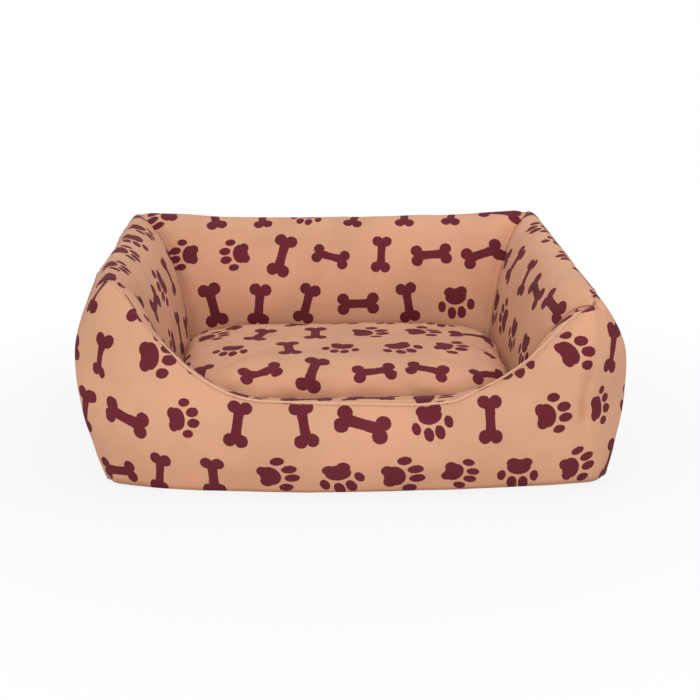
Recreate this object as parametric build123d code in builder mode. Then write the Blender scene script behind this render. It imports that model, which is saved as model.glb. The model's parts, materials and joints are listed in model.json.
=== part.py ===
from build123d import *
from math import cos, radians, sin, sqrt, tan
import os

os.makedirs("parts", exist_ok=True)

# A soft pet bed: four stuffed walls sewn round a padded floor, low at the front, with a loose
# zipped cushion inside. X runs along the front, Y to the back, Z up, and Z 0 is the floor it
# stands on. All lengths are in millimetres.

# Overall size. The walls are thinnest at the corners and bow out between them
bed_width = 632.0
bed_depth = 512.0
wall_thickness = 111.0
side_bow = 2.0
front_bow = 17.0
corner_radius = 50.0
corner_run = 82.0

# Heights of the wall's ridge
front_corner_height = 220.0
back_corner_height = 244.0
back_sag = 13.0
back_sag_power = 2.9

# Scooped way in at the front
scoop_height = 104.0
scoop_centre = 9.0
scoop_flat_half = 66.0
scoop_rise_half = 289.0
scoop_start_power = 1.72
scoop_end_power = 0.92

# Wall section: how far the ridge and the base seam lie inside the widest line
ridge_setback = 41.0
scoop_ridge_setback = 29.0
base_tuck = 19.0
ridge_roll = 11.0
scoop_ridge_roll = 4.0
inner_lean_share = 0.50
inner_ridge_share = 0.38
bulge_height_share = 0.59
shoulder_share = 0.49
tuck_share = 0.45

# Fabric and stuffing
fabric = 1.2
lining = 1.0
base_fabric = 1.2
floor_pad_height = 6.0
stuffing_gap = 0.9
seat_gap = 0.3

# Loose cushion
cushion_side_gap = 0.8
cushion_rear_gap = 7.5
cushion_crown = 97.0
cushion_seam_height = 38.0
cushion_band = 20.0
cushion_corner = 52.0
crown_corner = 8.0
cushion_fabric = 0.9

# Zip in the rear seam of the cushion, along its straight part
zip_end_gap = 10.2
zip_mouth = 11.0
zip_channel_end = 5.0
tape_width = 9.0
tape = 0.6
coil_width = 2.4
coil_depth = 1.6
coil_round = 0.7
coil_split = 1.6
stop_length = 3.0
slider_length = 11.0
slider_width = 9.0
slider_plate = 1.0
slider_corner = 1.6
slider_web = 5.0
bridge_length = 7.0
bridge_width = 1.8
bridge_wire = 0.9
pull_length = 21.0
pull_width = 6.0
pull_sheet = 0.8
pull_bar = 1.1
pull_eye = 5.4
pull_corner = 1.5
zip_gap = 0.3

# Worked-out places of the walls and the floor
inner_half_x = bed_width / 2 - side_bow - wall_thickness
inner_half_y = bed_depth / 2 - front_bow - wall_thickness
back_middle_height = back_corner_height - back_sag
pad_top = base_fabric + floor_pad_height
lining_top = pad_top + lining

# Worked-out places of the cushion and its zip
cushion_bottom = lining_top + seat_gap
cushion_half_x = inner_half_x - cushion_side_gap
cushion_front = cushion_side_gap - inner_half_y
cushion_rear = inner_half_y - cushion_rear_gap
cushion_half_y = (cushion_rear - cushion_front) / 2
cushion_mid_y = (cushion_rear + cushion_front) / 2
seam_z = cushion_bottom + cushion_seam_height
zip_length = 2 * (cushion_half_x - cushion_corner - zip_end_gap)
tape_outer = cushion_rear - cushion_fabric - zip_gap
tape_inner = tape_outer - tape
coil_outer = tape_outer + coil_depth
plate_outer = coil_outer + zip_gap + slider_plate
plate_inner = tape_inner - zip_gap - slider_plate
bar_y = plate_outer + zip_gap + pull_sheet / 2
bridge_top = bar_y + pull_sheet / 2 + zip_gap + bridge_wire
coil_half = zip_length / 2 - stop_length
slider_x = coil_half - slider_length / 2 - zip_gap

# Fan of section planes round each corner, in degrees, and places along a straight run
fan_angles = (45.0, 22.5)
side_run_share = (-1.0, 0.0, 1.0)
back_run_share = (-1.0, -0.5, 0.0, 0.5, 1.0)
front_run_share = (-1.0, -0.82, -0.6, -0.35, 0.0, 0.43, 0.66, 0.86, 1.0)

# Straight steps that each curve of a section is drawn in. The inner panel rolls over the ridge
# and meets the outer one a step or so down the outside
panel_steps = (6, 4, 4)
roll_over_steps = 1
stuffing_steps = (3, 2, 2)
corner_steps = 4

# Cushion form: height above its underside as a share of the crown's height, and the
# drawn-in distance as a share of its half depth
cushion_lower_share = ((0.0, 0.13), (0.11, 0.035))
cushion_upper_share = ((0.75, 0.07), (0.9, 0.22), (1.0, 0.5))


def ease(share):
    """Smooth step from 0 to 1."""
    return share * share * (3 - 2 * share)


def clamp(value):
    return max(0.0, min(1.0, value))


def front_height(x):
    """Height of the front ridge: flat in the middle, then rising to the corners."""
    rise = clamp((abs(x - scoop_centre) - scoop_flat_half) / (scoop_rise_half - scoop_flat_half))
    share = ease(rise**scoop_start_power) ** scoop_end_power
    return scoop_height + (front_corner_height - scoop_height) * share


def back_height(x):
    """Height of the back ridge, which sags a little between its corners."""
    rise = (abs(x) / (inner_half_x + corner_run)) ** back_sag_power
    return back_middle_height + (back_corner_height - back_middle_height) * rise


def side_height(y):
    """Height of a side ridge, from the front corner to the back corner."""
    reach = inner_half_y + corner_run
    rise = clamp((y + reach) / (2 * reach))
    return front_corner_height + (back_corner_height - front_corner_height) * rise


def left_height(along):
    """Height of the left ridge, along the way it runs."""
    return side_height(-along)


# Each wall: the way its section faces, the way it runs, its half length and distance from the
# middle, its ridge height, its bow and its stations
walls = {
    "front": ((0, -1), (1, 0), inner_half_x, inner_half_y, front_height, front_bow, front_run_share),
    "right": ((1, 0), (0, 1), inner_half_y, inner_half_x, side_height, side_bow, side_run_share),
    "back": ((0, 1), (-1, 0), inner_half_x, inner_half_y, back_height, front_bow, back_run_share),
    "left": ((-1, 0), (0, -1), inner_half_y, inner_half_x, left_height, side_bow, side_run_share),
}


def stations(wall):
    """Places along a wall: the run, the fan angle there, the ridge's height and the wall's
    thickness."""
    facing, way, half_run, out, height_at, bow, run_share = walls[wall]
    places = [(-half_run, -angle) for angle in fan_angles]
    places += [(share * half_run, 0.0) for share in run_share]
    places += [(half_run, angle) for angle in reversed(fan_angles)]
    for run, angle in places:
        along = run + corner_run * tan(radians(angle))
        middle = 1 - (along / (half_run + corner_run)) ** 2
        yield run, angle, height_at(along), wall_thickness + bow * middle


def reach_along(out, angle):
    """Distance from the inner corner to the line that lies `out` from the wall's foot,
    measured in a fan plane: straight near the foot, round beyond the corner's centre."""
    turn = radians(abs(angle))
    centre = wall_thickness - corner_radius
    if out <= centre or out * tan(turn) <= centre:
        return out / cos(turn)
    half = centre * (cos(turn) + sin(turn))
    return half + sqrt(half * half - 2 * centre * centre + (out - centre) ** 2)


def section_plane(wall, run, angle):
    """Upright plane through the inner foot of a wall, facing out along the fan angle."""
    facing, way, half_run, out = walls[wall][:4]
    turn = radians(angle)
    across = [facing[i] * cos(turn) + way[i] * sin(turn) for i in (0, 1)]
    foot = [facing[i] * out + way[i] * run for i in (0, 1)]
    return Plane(
        origin=(foot[0], foot[1], 0),
        x_dir=(across[0], across[1], 0),
        z_dir=(across[1], -across[0], 0),
    )


def wall_curves(wall, height, bulge):
    """The three curves of a wall's section, from the inner foot over the ridge to the base
    seam, as control points of distance out and height. `bulge` is its widest distance out."""
    low = 0.0
    if wall == "front":
        low = clamp((front_corner_height - height) / (front_corner_height - scoop_height))
    ridge = bulge - ridge_setback + (ridge_setback - scoop_ridge_setback) * low
    roll = ridge_roll + (scoop_ridge_roll - ridge_roll) * low
    base = bulge - base_tuck
    bulge_z = bulge_height_share * height
    shoulder_z = bulge_z + shoulder_share * (height - bulge_z)
    inner = (
        (0, base_fabric),
        (0, inner_lean_share * height),
        (inner_ridge_share * ridge, height),
        (ridge, height),
    )
    upper = ((ridge, height), (ridge + roll, height), (bulge, shoulder_z), (bulge, bulge_z))
    lower = (
        (bulge, bulge_z),
        (bulge, (1 - tuck_share) * bulge_z),
        (base + base_tuck * tuck_share, tuck_share * bulge_z),
        (base, base_fabric),
    )
    return inner, upper, lower


def moved_in(curve, depth, foot_z):
    """A section curve moved towards the stuffing by `depth`, with feet kept at `foot_z`."""
    moved = []
    for i, point in enumerate(curve):
        before = curve[max(i - 1, 0)]
        after = curve[min(i + 1, len(curve) - 1)]
        ahead = (after[0] - before[0], after[1] - before[1])
        length = sqrt(ahead[0] ** 2 + ahead[1] ** 2)
        z = point[1] - ahead[0] / length * depth
        if point[1] == base_fabric:
            z = foot_z
        moved.append((point[0] + ahead[1] / length * depth, z))
    return moved


def curve_points(curve, steps):
    """Points along a section curve, evenly spaced in its parameter."""
    points = []
    for step in range(steps + 1):
        share = step / steps
        rest = 1 - share
        weights = (rest**3, 3 * share * rest**2, 3 * share**2 * rest, share**3)
        points.append(tuple(sum(w * point[i] for w, point in zip(weights, curve)) for i in (0, 1)))
    return points


def outline(curves, steps, depth, foot_z, angle):
    """Line of points in a fan plane, `depth` inside the section curves."""
    points = []
    for curve, count in zip(curves, steps):
        points += curve_points(moved_in(curve, depth, foot_z), count)[len(points) > 0 :]
    return [(reach_along(out, angle), z) for out, z in points]


def panel_section(plane, curves, angle, first, last):
    """Closed strip of fabric between two points of the section's outline."""
    outside = outline(curves, panel_steps, 0, base_fabric, angle)[first:last]
    inside = outline(curves, panel_steps, fabric, base_fabric, angle)[first:last]
    with BuildSketch(plane) as section:
        with BuildLine():
            Polyline(*outside, *reversed(inside), close=True)
        make_face()
    return section.sketch


def inner_section(plane, curves, angle):
    """The inner panel, from the floor over the ridge to the seam."""
    return panel_section(plane, curves, angle, 0, seam_point + 1)


def outer_section(plane, curves, angle):
    """The outer panel, from the seam down to the base."""
    return panel_section(plane, curves, angle, seam_point, None)


def stuffing_section(plane, curves, angle):
    """Closed section of the stuffing, clear of the fabric round it."""
    points = outline(curves, stuffing_steps, fabric + stuffing_gap, base_fabric + seat_gap, angle)
    with BuildSketch(plane) as section:
        with BuildLine():
            Polyline(*points, close=True)
        make_face()
    return section.sketch


def wall_sections(wall_names, section):
    """Sections at every station of the walls, in order, with one at each mitre."""
    sketches = []
    for wall in wall_names:
        places = list(stations(wall))
        if sketches:
            places = places[1:]
        for run, angle, height, bulge in places:
            curves = wall_curves(wall, height, bulge)
            sketches.append(section(section_plane(wall, run, angle), curves, angle))
    return sketches


# Walls: an inner panel and stuffing for each
seam_point = panel_steps[0] + roll_over_steps
for wall in walls:
    with BuildPart() as inner_panel:
        loft(wall_sections([wall], inner_section), ruled=True)
    inner_panel.part.label = wall + "_inner_panel"
    export_step(inner_panel.part, "parts/" + wall + "_inner_panel.step")
    with BuildPart() as stuffing:
        loft(wall_sections([wall], stuffing_section), ruled=True)
    stuffing.part.label = wall + "_bolster_fill"
    export_step(stuffing.part, "parts/" + wall + "_bolster_fill.step")

# Outside: one band round the sides and the front, and a panel across the back
with BuildPart() as outer_band:
    loft(wall_sections(["left", "front", "right"], outer_section), ruled=True)
outer_band.part.label = "outer_band"
export_step(outer_band.part, "parts/outer_band.step")

with BuildPart() as back_outer_panel:
    loft(wall_sections(["back"], outer_section), ruled=True)
back_outer_panel.part.label = "back_outer_panel"
export_step(back_outer_panel.part, "parts/back_outer_panel.step")


def base_seam():
    """Points where the outer fabric meets the base, once round the bed."""
    points = []
    for wall in walls:
        for run, angle, height, bulge in list(stations(wall))[:-1]:
            lower = wall_curves(wall, height, bulge)[2]
            plane = section_plane(wall, run, angle)
            points.append(plane.from_local_coords((reach_along(lower[-1][0], angle), 0, 0)))
    return points


# Floor: dotted base fabric, a fibre pad and the lining under the cushion
with BuildPart() as base_panel:
    with BuildSketch():
        with BuildLine():
            Polyline(*base_seam(), close=True)
        make_face()
    extrude(amount=base_fabric)
base_panel.part.label = "non_slip_base"
export_step(base_panel.part, "parts/non_slip_base.step")

floor_size_x = 2 * (inner_half_x - seat_gap)
floor_size_y = 2 * (inner_half_y - seat_gap)

with BuildPart() as floor_pad:
    with BuildSketch(Plane.XY.offset(base_fabric)):
        Rectangle(floor_size_x, floor_size_y)
    extrude(amount=floor_pad_height)
floor_pad.part.label = "floor_pad"
export_step(floor_pad.part, "parts/floor_pad.step")

with BuildPart() as floor_lining:
    with BuildSketch(Plane.XY.offset(pad_top)):
        Rectangle(floor_size_x, floor_size_y)
    extrude(amount=lining)
floor_lining.part.label = "floor_lining"
export_step(floor_lining.part, "parts/floor_lining.step")


def rounded_level(half_x, half_y, radius):
    """Points of a rounded rectangle, each corner drawn in straight steps."""
    points = []
    for quarter, (side_x, side_y) in enumerate(((1, 1), (-1, 1), (-1, -1), (1, -1))):
        for step in range(corner_steps + 1):
            turn = radians(90 * (quarter + step / corner_steps))
            x = side_x * (half_x - radius) + radius * cos(turn)
            points.append((x, side_y * (half_y - radius) + radius * sin(turn)))
    return points


def cushion_sections(inset):
    """Level outlines of the crowned cushion, all moved in by `inset`."""
    height = cushion_crown - 2 * inset
    band_shares = [(cushion_seam_height + side * cushion_band / 2) / cushion_crown for side in (-1, 1)]
    levels = [*cushion_lower_share, *((share, 0.0) for share in band_shares), *cushion_upper_share]
    sketches = []
    for height_share, draw_share in levels:
        plane = Plane((0, cushion_mid_y, cushion_bottom + inset + height_share * height))
        draw = inset + draw_share * (cushion_half_y - inset)
        radius = max(cushion_corner - draw, crown_corner)
        with BuildSketch(plane) as level:
            with BuildLine():
                Polyline(*rounded_level(cushion_half_x - draw, cushion_half_y - draw, radius), close=True)
            make_face()
        sketches.append(level.sketch)
    return sketches


# Cushion cover: top and bottom panels that meet in a seam, with a mouth for the zip
with BuildPart() as cushion_cover:
    loft(cushion_sections(0), ruled=True)
    loft(cushion_sections(cushion_fabric), ruled=True, mode=Mode.SUBTRACT)
    with Locations((0, cushion_rear, seam_z)):
        Box(zip_length, 2 * (cushion_fabric + zip_gap), zip_mouth, mode=Mode.SUBTRACT)

with BuildPart() as cushion_top_panel:
    add(cushion_cover.part)
    split(bisect_by=Plane.XY.offset(seam_z), keep=Keep.TOP)
cushion_top_panel.part.label = "cushion_top_panel"
export_step(cushion_top_panel.part, "parts/cushion_top_panel.step")

with BuildPart() as cushion_bottom_panel:
    add(cushion_cover.part)
    split(bisect_by=Plane.XY.offset(seam_z), keep=Keep.BOTTOM)
cushion_bottom_panel.part.label = "cushion_bottom_panel"
export_step(cushion_bottom_panel.part, "parts/cushion_bottom_panel.step")

# Cushion stuffing, pressed in behind the zip
channel_floor = plate_inner - zip_gap
with BuildPart() as cushion_fill:
    loft(cushion_sections(cushion_fabric + zip_gap), ruled=True)
    with Locations((0, cushion_rear, seam_z)):
        Box(
            zip_length + 2 * zip_channel_end,
            2 * (cushion_rear - channel_floor),
            2 * (tape_width + zip_gap),
            mode=Mode.SUBTRACT,
        )
cushion_fill.part.label = "cushion_fill"
export_step(cushion_fill.part, "parts/cushion_fill.step")

# Zip tapes behind the cover's edges, one above and one below the seam
tape_half = zip_length / 2 + zip_channel_end - zip_gap
tape_mid = (tape_width + coil_split / 2) / 2
for name, side in (("upper", 1), ("lower", -1)):
    with BuildPart() as zip_tape:
        with Locations((0, (tape_outer + tape_inner) / 2, seam_z + side * tape_mid)):
            Box(2 * tape_half, tape, tape_width - coil_split / 2)
    zip_tape.part.label = "zip_tape_" + name
    export_step(zip_tape.part, "parts/zip_tape_" + name + ".step")

# Two rows of coil, rounded on the outside, with room for the slider's web between them
coil_mid = (coil_split + coil_width) / 2
with BuildPart() as zip_coil:
    with Locations(*[(0, (tape_outer + coil_outer) / 2, seam_z + side * coil_mid) for side in (-1, 1)]):
        Box(2 * coil_half, coil_depth, coil_width)
    outside_edges = zip_coil.edges().filter_by(Axis.X).group_by(Axis.Y)[-1]
    fillet(outside_edges, coil_round)
zip_coil.part.label = "zip_coil"
export_step(zip_coil.part, "parts/zip_coil.step")

# Stops that keep the slider on: one across both rows, and one on each row at the closed end
stop_mid = coil_half + stop_length / 2
stop_span = coil_split + 2 * coil_width
with BuildPart() as zip_stops:
    with Locations((-stop_mid, (tape_outer + coil_outer) / 2, seam_z)):
        Box(stop_length, coil_depth, stop_span)
    with Locations(*[(stop_mid, (tape_outer + coil_outer) / 2, seam_z + side * coil_mid) for side in (-1, 1)]):
        Box(stop_length, coil_depth, coil_width)
zip_stops.part.label = "zip_stops"
export_step(zip_stops.part, "parts/zip_stops.step")

# Slider: a plate on each side of the coil, a web between the rows and a bridge for the pull
with BuildPart() as zip_slider:
    for face_y in (plate_outer, plate_inner + slider_plate):
        with BuildSketch(Plane.XZ.offset(-face_y)) as plate:
            with Locations((slider_x, seam_z)):
                RectangleRounded(slider_length, slider_width, slider_corner)
        extrude(amount=slider_plate)
    with Locations((slider_x, (plate_outer + plate_inner) / 2, seam_z)):
        Box(slider_web, plate_outer - plate_inner, coil_split - 2 * zip_gap)
    with BuildSketch(Plane.XY.offset(seam_z)):
        with Locations((slider_x, (plate_outer + bridge_top) / 2)):
            Rectangle(bridge_length, bridge_top - plate_outer)
        with Locations((slider_x, (plate_outer + bridge_top - bridge_wire) / 2)):
            Rectangle(
                bridge_length - 2 * bridge_wire, bridge_top - bridge_wire - plate_outer, mode=Mode.SUBTRACT
            )
    extrude(amount=bridge_width / 2, both=True)
zip_slider.part.label = "zip_slider"
export_step(zip_slider.part, "parts/zip_slider.step")

# Pull: a flat tab whose end bar lies under the bridge
with BuildPart() as zip_pull:
    with BuildSketch(Plane.XZ.offset(-bar_y)):
        with Locations((slider_x + pull_bar / 2 - pull_length / 2, seam_z)):
            RectangleRounded(pull_length, pull_width, pull_corner)
        with Locations((slider_x - pull_bar / 2 - pull_eye / 2, seam_z)):
            Rectangle(pull_eye, bridge_width + 2 * zip_gap, mode=Mode.SUBTRACT)
    extrude(amount=pull_sheet / 2, both=True)
zip_pull.part.label = "zip_pull"
export_step(zip_pull.part, "parts/zip_pull.step")

print("slider travel", 2 * slider_x, "hinge", slider_x, bar_y, seam_z)
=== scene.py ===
import bpy
import json
from math import atan, cos, exp, pi, radians, sin, sqrt
from mathutils import Matrix, Vector, noise
import numpy as np


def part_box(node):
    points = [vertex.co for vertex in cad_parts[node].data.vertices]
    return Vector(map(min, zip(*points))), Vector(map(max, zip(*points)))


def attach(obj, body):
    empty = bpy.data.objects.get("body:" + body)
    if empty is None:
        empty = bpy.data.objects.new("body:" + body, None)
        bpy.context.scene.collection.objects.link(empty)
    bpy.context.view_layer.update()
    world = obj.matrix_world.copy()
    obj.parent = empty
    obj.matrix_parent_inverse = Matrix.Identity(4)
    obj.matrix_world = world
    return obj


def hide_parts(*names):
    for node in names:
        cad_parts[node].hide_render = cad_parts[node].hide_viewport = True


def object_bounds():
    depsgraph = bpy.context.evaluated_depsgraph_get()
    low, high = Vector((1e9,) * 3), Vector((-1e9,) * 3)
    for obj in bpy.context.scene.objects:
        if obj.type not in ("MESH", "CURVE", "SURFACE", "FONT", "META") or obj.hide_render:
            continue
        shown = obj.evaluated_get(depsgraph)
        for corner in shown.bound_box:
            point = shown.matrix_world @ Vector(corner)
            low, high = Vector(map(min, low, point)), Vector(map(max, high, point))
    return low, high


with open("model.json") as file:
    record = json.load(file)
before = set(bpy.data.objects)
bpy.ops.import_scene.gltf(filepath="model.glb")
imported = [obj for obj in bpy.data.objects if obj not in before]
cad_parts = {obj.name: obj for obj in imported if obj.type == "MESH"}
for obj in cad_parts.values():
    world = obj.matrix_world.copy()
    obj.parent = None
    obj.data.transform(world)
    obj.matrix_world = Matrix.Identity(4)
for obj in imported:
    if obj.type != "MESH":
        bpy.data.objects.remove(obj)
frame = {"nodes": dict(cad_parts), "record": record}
cad_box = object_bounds()

# Sizes read from the frame, in metres
back_corner_height = cad_box[1][2]
seat_gap = 0.0003
pad_low, pad_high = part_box("floor_pad")
inner_half_x = pad_high.x + seat_gap
inner_half_y = pad_high.y + seat_gap
lining_low, lining_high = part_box("floor_lining")
cushion_low, cushion_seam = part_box("cushion_bottom_panel")
cushion_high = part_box("cushion_top_panel")[1]
base_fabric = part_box("non_slip_base")[1].z

# Wall form, as in the solids, with the unevenness of the photographed bed: thickness in the
# middle of each wall and at each corner, and height at each corner
corner_centre = 0.061
corner_run = 0.082
mid_thickness = {"front": 0.1278, "right": 0.1126, "back": 0.1278, "left": 0.1126}
corner_thickness = {
    "front": (0.0931, 0.1138),
    "right": (0.1138, 0.1100),
    "back": (0.1100, 0.1266),
    "left": (0.1266, 0.0931),
}
front_left_height = 0.2328
front_right_height = 0.2075
front_corner_height = 0.2202
back_middle_height = 0.231
back_sag_power = 2.93
scoop_height = 0.104
scoop_centre = 0.009
scoop_flat_half = 0.0657
scoop_rise_half = 0.2893
scoop_foot_power = 1.72
scoop_top_power = 0.924
ridge_setback = 0.0408
scoop_ridge_setback = 0.0288
base_tuck = 0.0193
base_shift = 0.0045
base_spread = 0.006
base_shift_height = 0.11
ridge_roll = 0.0088
scoop_ridge_roll = 0.0020
bulge_height_share = 0.59
shoulder_share = 0.49
tuck_share = 0.447
inner_lean_share = 0.50
inner_ridge_share = 0.379
fabric = 0.0012

# Cushion form, as in the solids
cushion_corner = 0.052
crown_corner = 0.008

# Grid of the wall cloth: spacing along the ridge, and rows up, over and down it, which crowd
# towards the ridge and the seam
column_pitch = 0.005
corner_pitch = 0.0022
inner_rows = 30
shoulder_rows = 8
outer_rows = 34
least_shoulder = 0.001
inner_crowding = 1.7
outer_crowding = 1.5
curve_samples = 40

# The seam between the inner and outer panels, as a drop outside the ridge: at the front's left,
# its right and its corners, and on the sides and back, reached over a distance past the corners
front_drops = [
    (-0.285, 0.0012), (-0.08, 0.0015), (0.08, 0.0075), (0.12, 0.0060), (0.17, -0.0100), (0.25, -0.0110),
    (0.285, 0.0012),
]
corner_drop = 0.0012
side_seam_drop = 0.030
seam_drop_run = {"right": 0.14, "left": 0.06}

# How far the side panels reach round the front corners up to the ridge, in columns
past_corner = 8
corner_wrap = round(corner_run / corner_pitch) + past_corner

# Camera, from the photograph's perspective
camera_place = (-0.0245, -1.3584, 0.5043)
camera_pitch = 73.218
camera_yaw = -1.3455
camera_roll = -0.453
camera_lens = 56.379
camera_shift = 0.0029


def srgb(red, green, blue):
    """Linear colour of an 8-bit sRGB one."""
    shares = [value / 255 for value in (red, green, blue)]
    return (*[v / 12.92 if v <= 0.04045 else ((v + 0.055) / 1.055) ** 2.4 for v in shares], 1.0)


def shaded(colour, share):
    """A colour at a share of its brightness."""
    return (*[share * value for value in colour[:3]], 1.0)


cloth_colour = srgb(216, 162, 130)
ink_colour = srgb(100, 34, 44)
lining_colour = srgb(196, 158, 132)
base_colour = srgb(92, 78, 72)
dot_colour = srgb(38, 34, 34)
thread_colour = srgb(150, 102, 80)
# Paler than the cloth colour: a painted highlight along the front's edge roll
edge_highlight_colour = srgb(228, 180, 148)
fibre_colour = srgb(232, 230, 224)
tape_colour = srgb(176, 128, 104)
nylon_colour = srgb(168, 120, 98)
metal_colour = srgb(176, 172, 166)
slub_colour = srgb(186, 134, 104)
worn_ink_colour = srgb(108, 39, 50)
base_shade_colour = srgb(74, 62, 58)
fibre_shade_colour = srgb(206, 203, 196)
nylon_shade_colour = srgb(148, 104, 84)
worn_metal_colour = srgb(198, 190, 178)
grip_dot_pitch = 0.008


# Form of the walls
def clamp(value, low=0.0, high=1.0):
    return max(low, min(high, value))


def ease(share):
    return share * share * (3 - 2 * share)


def front_height(x):
    rise = clamp((abs(x - scoop_centre) - scoop_flat_half) / (scoop_rise_half - scoop_flat_half))
    top = front_left_height if x < 0 else front_right_height
    return scoop_height + (top - scoop_height) * ease(rise**scoop_foot_power) ** scoop_top_power


def back_height(x):
    rise = (abs(x) / (inner_half_x + corner_run)) ** back_sag_power
    return back_middle_height + (back_corner_height - back_middle_height) * rise


def side_height(y, front):
    share = clamp(0.5 + 0.5 * y / (inner_half_y + corner_run))
    return front + (back_corner_height - front) * share


def right_height(y):
    return side_height(y, front_right_height)


def left_height(y):
    return side_height(-y, front_left_height)


# Each wall: the way it faces, the way it runs, half its run, its foot's distance, ridge height
walls = {
    "front": (Vector((0, -1, 0)), Vector((1, 0, 0)), inner_half_x, inner_half_y, front_height),
    "right": (Vector((1, 0, 0)), Vector((0, 1, 0)), inner_half_y, inner_half_x, right_height),
    "back": (Vector((0, 1, 0)), Vector((-1, 0, 0)), inner_half_x, inner_half_y, back_height),
    "left": (Vector((-1, 0, 0)), Vector((0, -1, 0)), inner_half_y, inner_half_x, left_height),
}


def thickness(wall, along):
    """A wall's thickness at its widest line, thinning towards its corners."""
    share = along / (walls[wall][2] + corner_run)
    corner = corner_thickness[wall][share > 0]
    return mid_thickness[wall] - (mid_thickness[wall] - corner) * share**2


def wall_curves(wall, height, bulge):
    """Control points of a wall's section, as distance out and height: inside, shoulder, outside."""
    low = 0
    if wall == "front":
        low = clamp((front_corner_height - height) / (front_corner_height - scoop_height))
    ridge = bulge - ridge_setback + (ridge_setback - scoop_ridge_setback) * low
    roll = ridge_roll + (scoop_ridge_roll - ridge_roll) * low
    base = bulge - base_tuck
    bulge_z = bulge_height_share * height
    shoulder_z = bulge_z + shoulder_share * (height - bulge_z)
    inner = (
        (0, base_fabric),
        (0, inner_lean_share * height),
        (inner_ridge_share * ridge, height),
        (ridge, height),
    )
    upper = ((ridge, height), (ridge + roll, height), (bulge, shoulder_z), (bulge, bulge_z))
    lower = (
        (bulge, bulge_z),
        (bulge, (1 - tuck_share) * bulge_z),
        (base + tuck_share * base_tuck, tuck_share * bulge_z),
        (base, base_fabric),
    )
    return inner, upper, lower


def curve_points(curve):
    """Points along a cubic curve."""
    share = np.linspace(0, 1, curve_samples + 1)[:, None]
    rest = 1 - share
    a, b, c, d = (np.array(point) for point in curve)
    return rest**3 * a + 3 * share * rest**2 * b + 3 * share**2 * rest * c + share**3 * d


def travel_along(points):
    """Distance along a line of points from its first one, or along several side by side."""
    steps = np.linalg.norm(np.diff(points, axis=0), axis=-1)
    return np.concatenate([np.zeros((1, *steps.shape[1:])), np.cumsum(steps, axis=0)])


def reach_along(out, angle):
    """Distance in a fan plane to the line `out` from the wall's foot, rounded at the corner."""
    turn = abs(angle)
    if out <= corner_centre or out * sin(turn) <= corner_centre * cos(turn):
        return out / cos(turn)
    half = corner_centre * (cos(turn) + sin(turn))
    return half + sqrt(half * half - 2 * corner_centre**2 + (out - corner_centre) ** 2)


def seam_drop(wall, along):
    """How far outside the ridge the inner panel meets the outer one."""
    if wall == "front":
        return float(np.interp(along, *zip(*front_drops)))
    if wall == "back":
        return side_seam_drop
    from_front = walls[wall][2] + corner_run + (along if wall == "right" else -along)
    return corner_drop + (side_seam_drop - corner_drop) * ease(clamp(from_front / seam_drop_run[wall]))


def column(wall, along):
    """Points of the wall's skin from the inner foot to the base seam, and their place on the cloth."""
    facing, way, half_run, out, height_at = walls[wall]
    run = clamp(along, -half_run, half_run)
    angle = atan((along - run) / corner_run)
    height = height_at(along)
    curves = wall_curves(wall, height, thickness(wall, along))
    inner, upper, lower = (curve_points(curve) for curve in curves)
    line = np.vstack([inner, upper[1:], lower[1:]])
    length = travel_along(line)
    drop = seam_drop(wall, along)
    ridge = length[curve_samples] + min(0, drop - least_shoulder)
    seam = length[curve_samples] + drop
    up = ridge * (1 - (1 - np.arange(inner_rows) / inner_rows) ** inner_crowding)
    over = np.linspace(ridge, seam, shoulder_rows + 1)[:-1]
    down = seam + (length[-1] - seam) * (np.arange(outer_rows + 1) / outer_rows) ** outer_crowding
    rows = np.concatenate([up, over, down])
    reach, z = (np.interp(rows, length, line[:, i]) for i in (0, 1))
    across = facing * cos(angle) + way * sin(angle)
    foot = facing * out + way * run
    points = [foot + across * reach_along(r, angle) + Vector((0, 0, h)) for r, h in zip(reach, z)]
    return points, rows, length[-1] - rows


ridge_row = inner_rows
seam_row = inner_rows + shoulder_rows
base_row = seam_row + outer_rows


def even_steps(run, pitch):
    """Places along a run at about this pitch, without its end."""
    count = round(run / pitch)
    return run * np.arange(count) / count


# All columns once round the bed, with each wall's first and last one
places, spans = [], {}
for wall, (facing, way, half_run, out, height_at) in walls.items():
    turn = even_steps(corner_run, corner_pitch)
    straight = even_steps(2 * half_run, column_pitch)
    stations = np.concatenate([turn - corner_run - half_run, straight - half_run, half_run + turn])
    spans[wall] = (len(places), len(places) + len(stations))
    places += [(wall, float(along)) for along in stations]
around = len(places)
columns = [column(wall, along) for wall, along in places]
ring = np.array([points for points, up, down in columns])
length_up = np.array([up for points, up, down in columns])
length_down = np.array([down for points, up, down in columns])

# The foot of the outer cloth stands to one side and a little wider, as the bed has settled
near_base = np.clip(1 - ring[:, seam_row:, 2] / base_shift_height, 0, 1) ** 2
ring[:, seam_row:, 0] += (base_shift + base_spread * ring[:, seam_row:, 0]) * near_base


def normals_of(points):
    """Outward directions on the closed ring of columns."""
    along = np.roll(points, -1, axis=0) - np.roll(points, 1, axis=0)
    normal = np.cross(np.gradient(points, axis=1), along)
    size = np.linalg.norm(normal, axis=2, keepdims=True)
    return normal / np.maximum(size, 1e-12)


def wall_frame(wall, points):
    """Place of points along a wall, and how far out from its foot."""
    facing, way, half_run, out, height_at = walls[wall]
    return points @ np.array(way), points @ np.array(facing) - out


# Distance of each point from the nearer inner corner crease
crease_distance = np.zeros(ring.shape[:2])
for wall, (first, last) in spans.items():
    along, reach = wall_frame(wall, ring[first:last])
    crease_distance[first:last] = walls[wall][2] + reach - np.abs(along)

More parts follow.
